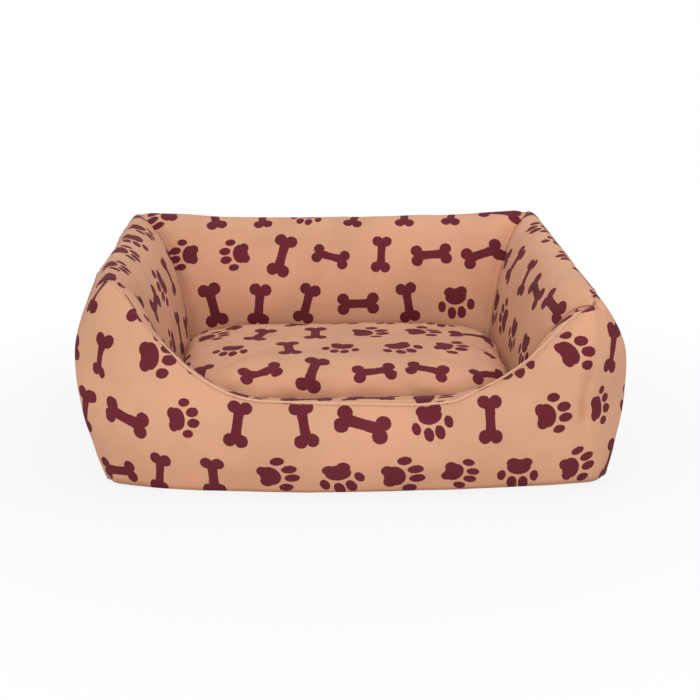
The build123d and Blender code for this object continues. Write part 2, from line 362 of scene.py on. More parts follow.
# Folds in the cloth, as soft valleys: the points that each runs through, its depth and its width
fold_sharpness = 1.1
folds = [
    ([(0.279, -0.212, 0.185), (0.264, -0.236, 0.14)], 0.003, 0.008),
    (
        [(0.268, -0.235, 0.142), (0.2615, -0.24, 0.125), (0.2585, -0.245, 0.099), (0.26, -0.2465, 0.085)],
        0.015, 0.004,
    ),
    ([(-0.225, -0.21, 0.193), (-0.2362, -0.2135, 0.181), (-0.24, -0.219, 0.165)], 0.003, 0.009),
    ([(-0.2229, -0.23, 0.13), (-0.2313, -0.233, 0.1109), (-0.229, -0.233, 0.09)], 0.0028, 0.011),
    ([(0.2788, -0.2042, 0.2023), (0.2627, -0.1718, 0.2032)], 0.0042, 0.004),
    ([(0.2788, -0.2042, 0.2043), (0.275, -0.1736, 0.2098)], 0.0034, 0.0035),
    ([(0.2649, 0.1973, 0.2402), (0.2509, 0.1577, 0.2269)], 0.0045, 0.0055),
    ([(-0.268, 0.199, 0.2402), (-0.2509, 0.1577, 0.2269)], 0.0035, 0.0055),
]


def fold_depth(point):
    """How deep the folds press the cloth in at a point."""
    total = 0
    for knots, depth, width in folds:
        away = 1.0
        for start, end in zip(knots, knots[1:]):
            start, line = Vector(start), Vector(end) - Vector(start)
            share = clamp((point - start).dot(line) / line.length_squared)
            away = min(away, (point - start - share * line).length)
        if away < 4 * width:
            total += depth * exp(-((away / width) ** fold_sharpness))
    return total


# Flats across the front corners: the turn from the front, the softness of their edges, and the
# depth that they cut from the corner's furthest reach at heights above the floor
corner_flats = {
    1: (41, 0.0008, [(0.02, 0), (0.061, 0.006), (0.1, 0.015), (0.135, 0.016), (0.18, 0.005), (0.205, 0)]),
    -1: (31, 0.0024, [(0.02, 0), (0.07, 0.006), (0.1, 0.0105), (0.14, 0.012), (0.18, 0.007), (0.215, 0)]),
}
normals = normals_of(ring)
flat_cut = np.zeros(ring.shape[:2])
for side, (turn, softness, depths) in corner_flats.items():
    facing = np.array([side * sin(radians(turn)), -cos(radians(turn)), 0])
    reach = ring @ facing
    furthest = reach.argmax(axis=0)
    rows = np.arange(base_row + 1)
    depth = np.interp(ring[furthest, rows, 2], *zip(*depths))
    beyond = (reach - reach[furthest, rows] + depth) / softness
    cut = softness * np.log1p(np.exp(np.minimum(beyond, 60))) / np.maximum(normals @ facing, 0.4)
    flat_cut += np.where(depth > 0, cut, 0)
flat_cut[:, : ridge_row + 1] = 0

# The stuffed cloth: it sinks in at the creases and along the seam, stands out as a lip below the
# seam and as a crest along the front's ridge, draws in low on the inside, swells and puckers
crease_sink = 0.0090
crease_width = 0.012
crease_top_loss = 0.6
crease_top_rows = (-6, 4)
seam_sink = 0.0009
lip_rise = 0.0012
corner_lip_rise = 0.0014
lip_width = 0.0022
undercut = {"front": 0.002, "right": 0.003, "back": 0.014, "left": 0.002}
undercut_height = 0.068
undercut_width = 0.038
undercut_foot_run = 0.03
undercut_crease_run = 0.05
front_edge_start = 0.10
front_edge_run = 0.06
crest_rise = 0.0011
crest_width = 0.0020
crest_start = -0.1
crest_run = 0.1
swell = 0.0014
swell_scales = (13, 31)
swell_crease_run = 0.02
pucker_rise = {"front": 0.3 * 0.0008, "right": 0.0008, "back": 0.0008, "left": 0.0008}
pucker_width = 0.012
pucker_pitch = 0.013
pucker_drift = 3
pucker_drift_scale = 20


def skin_offset(i, j, point):
    """How far the stuffed cloth stands out from the plain form at a point."""
    wall, along = places[i]
    near_crease = exp(-crease_distance[i, j] / crease_width) if j <= seam_row else 0
    top = clamp((j - ridge_row - crease_top_rows[0]) / (crease_top_rows[1] - crease_top_rows[0]))
    offset = -crease_sink * near_crease * (1 - crease_top_loss * top)
    if j < ridge_row:
        fade = ease(clamp(point[2] / undercut_foot_run))
        fade *= ease(clamp(crease_distance[i, j] / undercut_crease_run))
        offset -= undercut[wall] * exp(-(((point[2] - undercut_height) / undercut_width) ** 2)) * fade
    place = Vector(point)
    free = swell * (clamp(crease_distance[i, j] / swell_crease_run) if j <= seam_row else 1)
    broad, small = (noise.noise(place * scale) for scale in swell_scales)
    return offset + free * broad + 0.5 * free * small


def sewn_offset(i, j, point):
    """What the seams, folds and flats add to it once the cloth has settled."""
    wall, along = places[i]
    place = Vector(point)
    from_seam = abs(length_up[i, j] - length_up[i, seam_row])
    edge = ease(clamp((along - front_edge_start) / front_edge_run)) if wall == "front" else 0
    lip = lip_rise + (corner_lip_rise - lip_rise) * edge if j >= seam_row else -seam_sink
    offset = lip * exp(-from_seam / lip_width)
    if wall == "front" and along > crest_start:
        from_ridge = length_up[i, j] - length_up[i, ridge_row]
        crest = crest_rise * ease(clamp((along - crest_start) / crest_run)) * (1 - edge)
        offset += crest * exp(-((from_ridge / crest_width) ** 2))
    drift = pucker_drift * noise.noise(place * pucker_drift_scale)
    waves = sin(along * 2 * pi / pucker_pitch + drift)
    offset += pucker_rise[wall] * exp(-from_seam / pucker_width) * waves
    return offset - flat_cut[i, j] - fold_depth(place)


def grid_faces(rows, columns, closed=False):
    """Quads between neighbouring grid lines, for points listed row by row."""
    faces = []
    for i in range(rows if closed else rows - 1):
        for j in range(columns - 1):
            a, b = i * columns + j, (i + 1) % rows * columns + j
            faces.append((a, a + 1, b + 1, b))
    return faces


def placed(name, data):
    """An object of this data, in the scene."""
    obj = bpy.data.objects.new(name, data)
    bpy.context.scene.collection.objects.link(obj)
    return obj


settle_pressure = 3.0
settle_frames = 24


def settle(points, faces, pinned, gathered, growth):
    """Lets a cloth of these points and faces settle under air pressure, and returns its points."""
    mesh = bpy.data.meshes.new("settling")
    mesh.from_pydata([tuple(point) for point in points], [], faces)
    obj = placed("settling", mesh)
    for name, members in (("pinned", pinned), ("gathered", gathered)):
        group = obj.vertex_groups.new(name=name)
        group.add([int(member) for member in members], 1.0, "REPLACE")
    modifier = obj.modifiers.new("Cloth", "CLOTH")
    cloth = modifier.settings
    cloth.quality = 4
    cloth.mass = 0.25
    cloth.tension_stiffness = cloth.compression_stiffness = cloth.shear_stiffness = 12
    cloth.bending_stiffness = 0.15
    cloth.use_pressure = True
    cloth.uniform_pressure_force = settle_pressure
    cloth.effector_weights.gravity = 0
    cloth.shrink_min = -growth
    cloth.shrink_max = 2 * growth
    cloth.vertex_group_shrink = "gathered"
    if len(pinned):
        cloth.vertex_group_mass = "pinned"
    modifier.collision_settings.use_collision = False
    modifier.point_cache.frame_start, modifier.point_cache.frame_end = 1, settle_frames
    for frame_number in range(1, settle_frames + 1):
        bpy.context.scene.frame_set(frame_number)
    settled = obj.evaluated_get(bpy.context.evaluated_depsgraph_get())
    places = np.zeros(3 * len(points))
    settled.data.vertices.foreach_get("co", places)
    bpy.data.objects.remove(obj)
    bpy.data.meshes.remove(mesh)
    bpy.context.scene.frame_set(1)
    return places.reshape(-1, 3)


def smooth_round(values, reach):
    """Values on the ring averaged over so many neighbours each way."""
    total = sum(np.roll(values, step, axis=0) for step in range(-reach, reach + 1)) / (2 * reach + 1)
    padded = np.pad(total, ((0, 0), (reach, reach)) + ((0, 0),) * (values.ndim - 2), mode="edge")
    rows = values.shape[1]
    return sum(padded[:, step : step + rows] for step in range(2 * reach + 1)) / (2 * reach + 1)


def settled_detail(points, outward, pinned, gathered, growth, reach, cap):
    """How far out or in a closed grid of cloth settles, without what near points do alike."""
    flat = points.reshape(-1, 3)
    faces = grid_faces(*points.shape[:2], closed=True)
    settled = settle(flat, faces, pinned, gathered, growth).reshape(points.shape)
    moved = np.sum((settled - points) * outward, axis=2)
    fine = moved - smooth_round(smooth_round(moved, reach), reach)
    return cap * np.tanh(fine / cap)


def moved_out(points, offset):
    """Points of the ring moved along its outward directions by an offset that each one has."""
    amounts = [[offset(i, j, ring[i, j]) for j in range(base_row + 1)] for i in range(around)]
    return points + normals * np.array(amounts)[:, :, None]


# The walls' cloth, with the creases that the stuffing leaves, and then what is sewn
wrinkle_cap = 0.0035
wrinkle_reach = 5
wall_gather = 0.022
cloth_foot_z = 0.0008
skin = moved_out(ring, skin_offset)
tall = base_row + 1
ends = [i * tall + j for i in range(around) for j in (0, 1, base_row - 1, base_row)]
seam = [i * tall + j for i in range(around) for j in (seam_row - 1, seam_row, seam_row + 1)]
for first, last in spans.values():
    seam += [first * tall + j for j in range(2, seam_row)]
fine = settled_detail(skin, normals, ends, seam, wall_gather, wrinkle_reach, wrinkle_cap)
skin += normals * fine[:, :, None]
skin = moved_out(skin, sewn_offset)
skin[:, :, 2] = np.maximum(skin[:, :, 2], base_fabric)
skin[:, base_row, 2] = cloth_foot_z

# The front corners' lower edge curls in and up
curl_in = 0.0040
curl_up = 0.0015
curl_rows = 3
curl_power = 1.5
steps_from = [np.abs(np.arange(around) - end) for end in spans["front"]]
to_front_corner = np.minimum(*[np.minimum(steps, around - steps) for steps in steps_from]) * corner_pitch
curl = np.clip(1 - to_front_corner / corner_run, 0, 1)[:, None] ** curl_power
curl = curl * np.clip((np.arange(-base_row, 1) + curl_rows) / curl_rows, 0, 1)[None] ** curl_power
skin -= normals * curl_in * curl[:, :, None]
skin[:, :, 2] += curl_up * curl
skin_normals = normals_of(skin)


# Meshes
def new_object(name, points, faces, prints=None):
    """An object of smooth faces, with cloth coordinates per point where it has a print."""
    mesh = bpy.data.meshes.new(name)
    mesh.from_pydata([tuple(point) for point in points], [], faces)
    mesh.polygons.foreach_set("use_smooth", [True] * len(mesh.polygons))
    if prints is not None:
        layer = mesh.uv_layers.new(name="Cloth")
        loops = np.zeros(len(mesh.loops), int)
        mesh.loops.foreach_get("vertex_index", loops)
        layer.data.foreach_set("uv", np.array(prints, float)[loops].ravel())
    mesh.validate()
    return placed(name, mesh)


def dress(obj, material, body, replaces=()):
    """Gives a piece its material and body, and hides the parts that it stands for."""
    obj.data.materials.append(material)
    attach(obj, body)
    if replaces:
        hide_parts(*replaces)
    return obj


def cloth_panel(name, numbers, rows, prints, keep=None):
    """A panel of the wall's cloth, with its thickness: the part kept of the ring between two rows."""
    first, last = rows
    tall = last + 1 - first
    points = skin[numbers, first : last + 1].reshape(-1, 3)
    faces = grid_faces(len(numbers), tall)
    if keep:
        faces = [face for face in faces if keep(face[0] // tall, first + face[0] % tall)]
    used = sorted({corner for face in faces for corner in face})
    place = {corner: number for number, corner in enumerate(used)}
    faces = [tuple(place[corner] for corner in face) for face in faces]
    obj = new_object(name, points[used], faces, prints.reshape(-1, 2)[used])
    modifier = obj.modifiers.new("Thickness", "SOLIDIFY")
    modifier.thickness, modifier.offset = fabric, -1
    return obj


# Materials
class Graph:
    """Builds one material's nodes, with maths in short calls."""

    def __init__(self, name):
        self.material = bpy.data.materials.new(name)
        self.material.use_nodes = True
        self.nodes = self.material.node_tree.nodes
        self.links = self.material.node_tree.links
        self.shader = self.nodes["Principled BSDF"]

    def put(self, socket, value):
        if isinstance(value, bpy.types.NodeSocket):
            self.links.new(value, socket)
        else:
            socket.default_value = value

    def node(self, kind, **inputs):
        node = self.nodes.new(kind)
        for name, value in inputs.items():
            self.put(node.inputs[name.replace("_", " ")], value)
        return node

    def math(self, operation, *values):
        node = self.nodes.new("ShaderNodeMath")
        node.operation = operation
        for socket, value in zip(node.inputs, values):
            self.put(socket, value)
        return node.outputs[0]

    def add(self, a, b):
        return self.math("ADD", a, b)

    def sub(self, a, b):
        return self.math("SUBTRACT", a, b)

    def mul(self, a, b):
        return self.math("MULTIPLY", a, b)

    def least(self, first, *rest):
        for value in rest:
            first = self.math("MINIMUM", first, value)
        return first

    def oval(self, x, y, centre_x, centre_y, radius_x, radius_y):
        """Distance to an oval's edge, below 0 inside it."""
        across = self.math("DIVIDE", self.sub(x, centre_x), radius_x)
        up = self.math("DIVIDE", self.sub(y, centre_y), radius_y)
        size = self.math("SQRT", self.add(self.mul(across, across), self.mul(up, up)))
        return self.mul(self.sub(size, 1.0), min(radius_x, radius_y))

    def ramp(self, value, low, high, out_low=0.0, out_high=1.0):
        node = self.nodes.new("ShaderNodeMapRange")
        node.interpolation_type = "SMOOTHSTEP"
        for socket, number in zip(node.inputs, (value, low, high, out_low, out_high)):
            self.put(socket, number)
        return node.outputs[0]

    def mix(self, share, a, b):
        node = self.nodes.new("ShaderNodeMix")
        node.data_type = "RGBA"
        for number, value in ((0, share), (6, a), (7, b)):
            self.put(node.inputs[number], value)
        return node.outputs[2]

    def noise(self, vector, scale, detail=2.0):
        return self.node("ShaderNodeTexNoise", Vector=vector, Scale=scale, Detail=detail).outputs["Fac"]

    def parts(self, vector):
        return self.node("ShaderNodeSeparateXYZ", Vector=vector).outputs

    def cloth(self):
        """The two coordinates on the cloth, in metres."""
        node = self.nodes.new("ShaderNodeUVMap")
        node.uv_map = "Cloth"
        return node.outputs[0], *self.parts(node.outputs[0])[:2]

    def object_place(self):
        return self.nodes.new("ShaderNodeTexCoord").outputs["Object"]

    def bump(self, height, strength, distance, under=None):
        node = self.node("ShaderNodeBump", Strength=strength, Distance=distance, Height=height)
        if under:
            self.put(node.inputs["Normal"], under)
        return node.outputs[0]

    def finish(self, colour, roughness, normal=None, **constants):
        self.put(self.shader.inputs["Base Color"], colour)
        self.put(self.shader.inputs["Roughness"], roughness)
        if normal:
            self.put(self.shader.inputs["Normal"], normal)
        for name, value in constants.items():
            self.shader.inputs[name.replace("_", " ")].default_value = value
        return self.material


motif_pitch = 0.069
motif_edge = 0.0035
weave_pitch = 0.0008


def bone(g, x, y):
    """A bone lying along x, as a distance."""
    x, y = g.math("ABSOLUTE", x), g.math("ABSOLUTE", y)
    knob = g.oval(x, y, 0.270, 0.092, 0.108, 0.106)
    waist = g.add(0.078, g.mul(0.30, g.mul(x, x)))
    bar = g.math("MAXIMUM", g.sub(x, 0.280), g.sub(y, waist))
    return g.least(knob, bar)


def paw(g, x, y):
    """A paw print with four toes, as a distance."""
    side = g.math("ABSOLUTE", x)
    pad = g.oval(side, y, 0.0, -0.080, 0.190, 0.150)
    heel = g.oval(side, y, 0.105, -0.165, 0.100, 0.090)
    inner_toe = g.oval(side, y, 0.088, 0.215, 0.078, 0.112)
    outer_toe = g.oval(side, y, 0.258, 0.085, 0.070, 0.102)
    return g.least(pad, heel, inner_toe, outer_toe)


def staggered(g, x, y, pitch):
    """Coordinates in cells of this pitch, every second row moved half a cell, and the row."""
    x, y = (g.math("DIVIDE", value, pitch) for value in (x, y))
    row = g.math("FLOOR", y)
    return g.add(x, g.mul(0.5, g.math("FLOORED_MODULO", row, 2.0))), y, row


def print_share(g, place, x, y):
    """Where the print lies on the cloth: bones and paws in staggered rows, turned at random."""
    x, y, row = staggered(g, x, y, motif_pitch)
    cell = g.node("ShaderNodeCombineXYZ", X=g.math("FLOOR", x), Y=row)
    chance = g.nodes.new("ShaderNodeTexWhiteNoise")
    chance.noise_dimensions = "2D"
    g.put(chance.inputs["Vector"], cell.outputs[0])
    turn_chance, shift_chance, size_chance = g.parts(chance.outputs["Color"])
    x = g.sub(g.math("FRACT", x), g.add(0.44, g.mul(0.12, shift_chance)))
    y = g.sub(g.math("FRACT", y), g.add(0.45, g.mul(0.10, turn_chance)))
    quarter_turns = g.mul(pi / 2, g.math("FLOOR", g.mul(4.0, turn_chance)))
    turn = g.add(quarter_turns, g.mul(0.7, g.sub(shift_chance, 0.5)))
    size = g.add(0.98, g.mul(0.22, size_chance))
    cosine, sine = (g.math("DIVIDE", g.math(kind, turn), size) for kind in ("COSINE", "SINE"))
    across = g.add(g.mul(x, cosine), g.mul(y, sine))
    up = g.sub(g.mul(y, cosine), g.mul(x, sine))
    is_paw = g.math("GREATER_THAN", chance.outputs["Value"], 0.55)
    bone_away, paw_away = bone(g, across, up), paw(g, across, up)
    away = g.add(bone_away, g.mul(is_paw, g.sub(paw_away, bone_away)))
    away = g.add(away, g.mul(0.016, g.sub(g.noise(place, 260.0), 0.5)))
    return g.ramp(away, -motif_edge, motif_edge, 1.0, 0.0)


def weave(g, x, y, pitch):
    """Height of a plain weave, from 0 to 1."""
    turns = 2 * pi / pitch
    warp, weft = (g.math("SINE", g.mul(turns, value)) for value in (x, y))
    return g.add(0.5, g.mul(0.25, g.add(warp, weft)))


def printed_cloth(name, sheen):
    """Smooth woven canvas with the print, slightly uneven in colour."""
    g = Graph(name)
    place, x, y = g.cloth()
    ink = print_share(g, place, x, y)
    cloud = g.noise(g.object_place(), 14.0, 3.0)
    slub = g.noise(place, 1900.0, 1.0)
    pale, deep = shaded(cloth_colour, 1.05), shaded(cloth_colour, 0.94)
    ground = g.mix(g.ramp(cloud, 0.3, 0.7), deep, pale)
    ground = g.mix(g.mul(0.10, slub), ground, slub_colour)
    print_tone = g.mix(g.ramp(cloud, 0.3, 0.7), ink_colour, worn_ink_colour)
    colour = g.mix(ink, ground, print_tone)
    threads = weave(g, x, y, weave_pitch)
    normal = g.bump(threads, 0.18, 0.00025)
    normal = g.bump(g.noise(place, 320.0, 2.0), 0.12, 0.0006, normal)
    roughness = g.sub(0.88, g.mul(0.07, ink))
    shine = {"Sheen_Weight": sheen, "Sheen_Roughness": 0.5, "Specular_IOR_Level": 0.12}
    return g.finish(colour, roughness, normal, **shine)


def plain_cloth(name, colour, pitch, uneven=0.12):
    """Unprinted woven cloth, threads by the object's own place."""
    g = Graph(name)
    place = g.object_place()
    across, deep, up = g.parts(place)
    x, y = across, g.add(deep, up)
    shade = shaded(colour, 1 - 2 * uneven)
    tone = g.mix(g.noise(place, 90.0, 4.0), colour, shade)
    tone = g.mix(g.mul(0.25, weave(g, x, y, pitch)), tone, shade)
    normal = g.bump(weave(g, x, y, pitch), 0.35, pitch / 3)
    return g.finish(tone, 0.9, normal, Sheen_Weight=0.1, Specular_IOR_Level=0.2)


def dotted_base(name):
    """Dark base cloth with raised grip dots."""
    g = Graph(name)
    place = g.object_place()
    across, deep, up = g.parts(place)
    x, y, row = staggered(g, across, deep, grip_dot_pitch)
    away = g.oval(g.math("FRACT", x), g.math("FRACT", y), 0.5, 0.5, 0.19, 0.19)
    dot = g.ramp(away, -0.03, 0.03, 1.0, 0.0)
    ground = g.mix(g.noise(place, 500.0, 2.0), base_colour, base_shade_colour)
    normal = g.bump(g.ramp(away, -0.19, 0.02, 1.0, 0.0), 0.8, 0.0006)
    normal = g.bump(weave(g, across, deep, 0.0009), 0.3, 0.0003, normal)
    return g.finish(g.mix(dot, ground, dot_colour), g.sub(0.9, g.mul(0.35, dot)), normal)


def fibre(name):
    """Loose white polyester fibre."""
    g = Graph(name)
    wisps = g.noise(g.object_place(), 160.0, 8.0)
    tone = g.mix(wisps, fibre_shade_colour, fibre_colour)
    return g.finish(tone, 0.95, g.bump(wisps, 0.9, 0.002), Sheen_Weight=0.3)


def thread(name, colour):
    """Twisted sewing thread."""
    g = Graph(name)
    place = g.object_place()
    tone = g.mix(g.noise(place, 1500.0, 2.0), colour, shaded(colour, 0.7))
    return g.finish(tone, 0.6, g.bump(g.noise(place, 2500.0), 0.4, 0.0002), Sheen_Weight=0.2)


def nylon(name):
    """Moulded nylon, faintly mottled and a little glossy."""
    g = Graph(name)
    mottle = g.noise(g.object_place(), 700.0, 3.0)
    tone = g.mix(mottle, nylon_colour, nylon_shade_colour)
    return g.finish(tone, g.add(0.32, g.mul(0.12, mottle)), g.bump(mottle, 0.15, 0.0001))


def zip_metal(name):
    """Plated metal with fine brush marks and rubbed spots."""
    g = Graph(name)
    place = g.object_place()
    stretched = g.node("ShaderNodeMapping", Vector=place, Scale=(300.0, 2500.0, 2500.0)).outputs[0]
    marks = g.noise(stretched, 1.0, 3.0)
    worn = g.ramp(g.noise(place, 350.0, 3.0), 0.45, 0.7)
    tone = g.mix(worn, metal_colour, worn_metal_colour)
    roughness = g.add(0.28, g.mul(0.18, marks))
    return g.finish(tone, roughness, g.bump(marks, 0.12, 0.00005), Metallic=1.0)


outer_cloth = printed_cloth("outer_canvas", 0.02)
inner_cloth = printed_cloth("inner_canvas", 0.03)
cushion_cloth = printed_cloth("cushion_canvas", 0.03)
lining_cloth = plain_cloth("lining_cloth", lining_colour, 0.0012)
# The edge roll's cloth, paler than the canvas: a painted highlight
edge_highlight_cloth = plain_cloth("edge_highlight_cloth", edge_highlight_colour, 0.0008, 0.04)
tape_cloth = plain_cloth("tape_cloth", tape_colour, 0.0007)
base_cloth = dotted_base("grip_cloth")
fibre_fill = fibre("fibre_fill")
seam_thread = thread("seam_thread", thread_colour)
coil_nylon = nylon("zip_nylon")
slider_metal = zip_metal("zip_metal")


def inner_span(wall):
    """Columns of an inner panel: the side ones take the insides of the front corners too."""
    first, last = spans[wall]
    return first - corner_wrap * (wall == "right"), last + corner_wrap * (wall == "left")


def inner_part(wall, count):
    """Tells which faces an inner panel keeps: the front's ends stop at the ridge."""

    def keep(i, j):
        if wall == "front":
            return j >= ridge_row or corner_wrap <= i < count - 1 - corner_wrap
        if wall == "right":
            return j < ridge_row or i >= corner_wrap
        return wall == "back" or j < ridge_row or i < count - 1 - corner_wrap

    return keep


def wall_prints(wall, numbers):
    """Place on the cloth of an inner panel's points, carried on round the corners by distance."""
    rows = slice(0, seam_row + 1)
    points = ring[numbers][:, rows]
    travel = travel_along(points)
    along, reach = wall_frame(wall, points)
    own = corner_wrap if wall == "right" else 0
    across = travel + (along[own] - travel[own])
    return np.stack([across, length_up[numbers][:, rows]], axis=2)


# Walls: an inner panel for each, one outer band and a back panel
print_start = {"front": (0.02, 0.03), "right": (1.31, 0.05), "back": (2.44, -0.018), "left": (3.17, 0.06)}
for wall in walls:
    first, last = inner_span(wall)
    numbers = np.arange(first, last + 1) % around
    prints = wall_prints(wall, numbers) + print_start[wall]
    kept = inner_part(wall, len(numbers))
    panel = cloth_panel(wall + "_inner_cloth", numbers, (0, seam_row), prints, kept)
    dress(panel, inner_cloth, "bed", [wall + "_inner_panel"])


widest_row = (seam_row + base_row) // 2
outer_spans = {
    "outer_band_cloth": (spans["left"][0], spans["right"][1] + around, "outer_band", (0.035, 0.012)),
    "back_outer_cloth": (spans["back"][0], spans["back"][1], "back_outer_panel", (5.2, 0.02)),
}
for name, (first, last, node, start) in outer_spans.items():
    numbers = np.arange(first, last + 1) % around
    along = np.repeat(travel_along(ring[numbers, widest_row])[:, None], outer_rows + 1, axis=1)
    prints = np.stack([along, length_down[numbers, seam_row:]], axis=2) + start
    panel = cloth_panel(name, numbers, (seam_row, base_row), prints)
    dress(panel, outer_cloth, "bed", [node])


# Stuffing inside each wall, a closed form just under the cloth
stuffing_inset = 0.0035
stuffing_reach = 2
core = smooth_round(skin, stuffing_reach)
sunk = np.minimum(0, np.sum((skin - core) * normals, axis=2, keepdims=True))
stuffed = core + normals * (sunk - stuffing_inset)
stuffed[:, :, 2] = np.clip(stuffed[:, :, 2], base_fabric + seat_gap, None)
for wall, (first, last) in spans.items():
    points = stuffed[np.arange(first, last + 1) % around]
    wide, tall = points.shape[:2]
    faces = grid_faces(wide, tall)
    starts = range(0, (wide - 1) * tall, tall)
    faces += [(a + tall - 1, a, a + tall, a + 2 * tall - 1) for a in starts]
    faces += [tuple(range(tall)), tuple(reversed(range((wide - 1) * tall, wide * tall)))]
    stuffing = new_object(wall + "_stuffing", points.reshape(-1, 3), faces)
    dress(stuffing, fibre_fill, "bed", [wall + "_bolster_fill"])


# Sewing
def tube_faces(first, rings, sides):
    """Faces of a tube of equal rings of points, and of its two ends."""
    faces = []
    for k in range(rings - 1):
        for turn in range(sides):
            a, b = first + k * sides + turn, first + k * sides + (turn + 1) % sides
            faces.append((a, b, b + sides, a + sides))
    last = first + (rings - 1) * sides
    return [*faces, tuple(reversed(range(first, first + sides))), tuple(range(last, last + sides))]


def circle(centre, side, out, radius, count):
    """Points once round a centre."""
    angles = [2 * pi * turn / count for turn in range(count)]
    return [centre + radius * (side * cos(angle) + out * sin(angle)) for angle in angles]


stitch_radius = 0.00026


def stitches(name, path, outward, pitch, length, body):
    """A row of separate stitches along a path, each arched and sunk at its ends."""
    sides, rings = 6, 5
    points, faces = [], []
    distance = travel_along(path)

    def value_at(values, place):
        return Vector([np.interp(place, distance, values[:, i]) for i in range(3)])

    for n in range(int(distance[-1] / pitch)):
        middle = (n + 0.5) * pitch
        first = len(points)
        for k in range(rings):
            share = k / (rings - 1)
            at = middle + (share - 0.5) * length
            centre = value_at(path, at)
            ahead = value_at(path, at + 0.001) - centre
            out = value_at(outward, at).normalized()
            side = ahead.cross(out).normalized()
            arch = sin(pi * share)
            centre += out * stitch_radius * (1.1 * arch - 0.6)
            points += circle(centre, side, out, stitch_radius * (0.35 + 0.65 * arch), sides)
        faces += tube_faces(first, rings, sides)
    return dress(new_object(name, points, faces), seam_thread, body)


closed = np.arange(around + 1) % around
top_stitch_row = seam_row + 2
top_path, top_outward = skin[closed, top_stitch_row], skin_normals[closed, top_stitch_row]
stitches("top_seam_stitches", top_path, top_outward, 0.0040, 0.0029, "bed")


edge_roll_radius = 0.0013
edge_roll_taper = 6
roll_start, roll_end = -0.21, 0.272


def edge_roll(name, path, outward):
    """A thin roll of folded cloth along a path, thinning to nothing at both ends, in a cloth paler than the
    canvas that paints a highlight along it.
    """
    sides, count = 8, len(path)
    ahead = np.gradient(path, axis=0)
    points = []
    for k in range(count):
        out = Vector(outward[k]).normalized()
        side = Vector(ahead[k]).cross(out).normalized()
        thick = edge_roll_radius * (0.1 + 0.9 * ease(clamp(min(k, count - 1 - k) / edge_roll_taper)))
        points += circle(Vector(path[k]) + out * 0.4 * thick, side, out, thick, sides)
    return dress(new_object(name, points, tube_faces(0, count, sides)), edge_highlight_cloth, "bed")


rolled = [i for i in range(*spans["front"]) if roll_start < places[i][1] < roll_end]
edge_roll("front_edge_roll", skin[rolled, seam_row], skin_normals[rolled, seam_row])


# Floor: base, pad and lining
def plate(name, outline, low_z, high_z, edge):
    """A flat piece with a rounded rim, from points once round it."""
    centre = sum(outline, Vector((0, 0, 0))) / len(outline)
    levels = [(edge, low_z), (0.3 * edge, low_z + 0.3 * edge), (0, (low_z + high_z) / 2)]
    levels += [(0.3 * edge, high_z - 0.3 * edge), (edge, high_z)]
    points = []
    for inset, z in levels:
        for point in outline:
            inward = (centre - point).normalized() * inset
            points.append(Vector((point.x + inward.x, point.y + inward.y, z)))
    obj = new_object(name, points, tube_faces(0, len(levels), len(outline)))
    obj.data.polygons[-1].use_smooth = obj.data.polygons[-2].use_smooth = False
    return obj


base_inset = 0.0040
base_edge = skin[:, base_row] - normals[:, base_row] * (base_inset, base_inset, 0)
base_outline = [Vector(point) for point in base_edge]
grip_base = plate("grip_base", base_outline, 0.0, base_fabric, 0.0005)
dress(grip_base, base_cloth, "bed", ["non_slip_base"])


quilt_pitch = 0.06


def quilted_sheet(name, half_x, half_y, low_z, high_z, puff):
    """A rectangular layer with a slightly quilted top."""
    across, deep = 60, 40
    points = []
    for z_at, quilt in ((low_z, 0), (high_z, puff)):
        for i in range(across + 1):
            for j in range(deep + 1):
                x, y = half_x * (2 * i / across - 1), half_y * (2 * j / deep - 1)
                soft = quilt * (abs(sin(pi * x / quilt_pitch)) * abs(sin(pi * y / quilt_pitch)) - 1)
                points.append((x, y, z_at + soft))
    layer = (across + 1) * (deep + 1)
    under = [tuple(reversed(face)) for face in grid_faces(across + 1, deep + 1)]
    above = [tuple(layer + v for v in face) for face in grid_faces(across + 1, deep + 1)]
    rim = [i * (deep + 1) for i in range(across)] + [across * (deep + 1) + j for j in range(deep)]
    rim += [i * (deep + 1) + deep for i in range(across, 0, -1)] + list(range(deep, 0, -1))
    sides = [(a, b, b + layer, a + layer) for a, b in zip(rim, rim[1:] + rim[:1])]
    return new_object(name, points, above + under + sides)


pad = quilted_sheet("fibre_pad", pad_high.x, pad_high.y, pad_low.z, pad_high.z, 0.0008)
dress(pad, fibre_fill, "bed", ["floor_pad"])
lining = quilted_sheet("lining_sheet", lining_high.x, lining_high.y, lining_low.z, lining_high.z, 0.0005)
dress(lining, lining_cloth, "bed", ["floor_lining"])


# Cushion
cushion_half_x = cushion_high.x
cushion_mid_y = (cushion_low.y + cushion_seam.y) / 2
cushion_half_y = (cushion_seam.y - cushion_low.y) / 2
seam_z = cushion_seam.z
crown = cushion_high.z - cushion_low.z
across_steps, side_steps, corner_steps = 36, 22, 12

# Profiles from the middle to the seam, as drawn-in share of the half depth and height above
# the underside as a share of the crown
top_profile = [
    (0.93, 1.035), (0.7, 1.03), (0.42, 1.01), (0.22, 0.965), (0.08, 0.895),
    (-0.015, 0.76), (-0.038, 0.61), (-0.02, 0.49), (0.0, 0.40),
]
bottom_profile = [(0.93, 0), (0.6, 0), (0.13, 0), (0.05, 0.035), (0, 0.12), (-0.012, 0.25), (0, 0.40)]


def spline(p, q, r, s, t):
    """A share t of the way from q to r on a smooth curve through four values."""
    return 0.5 * (2 * q + (r - p) * t + (2 * p - 5 * q + 4 * r - s) * t * t + (3 * q - p - 3 * r + s) * t**3)


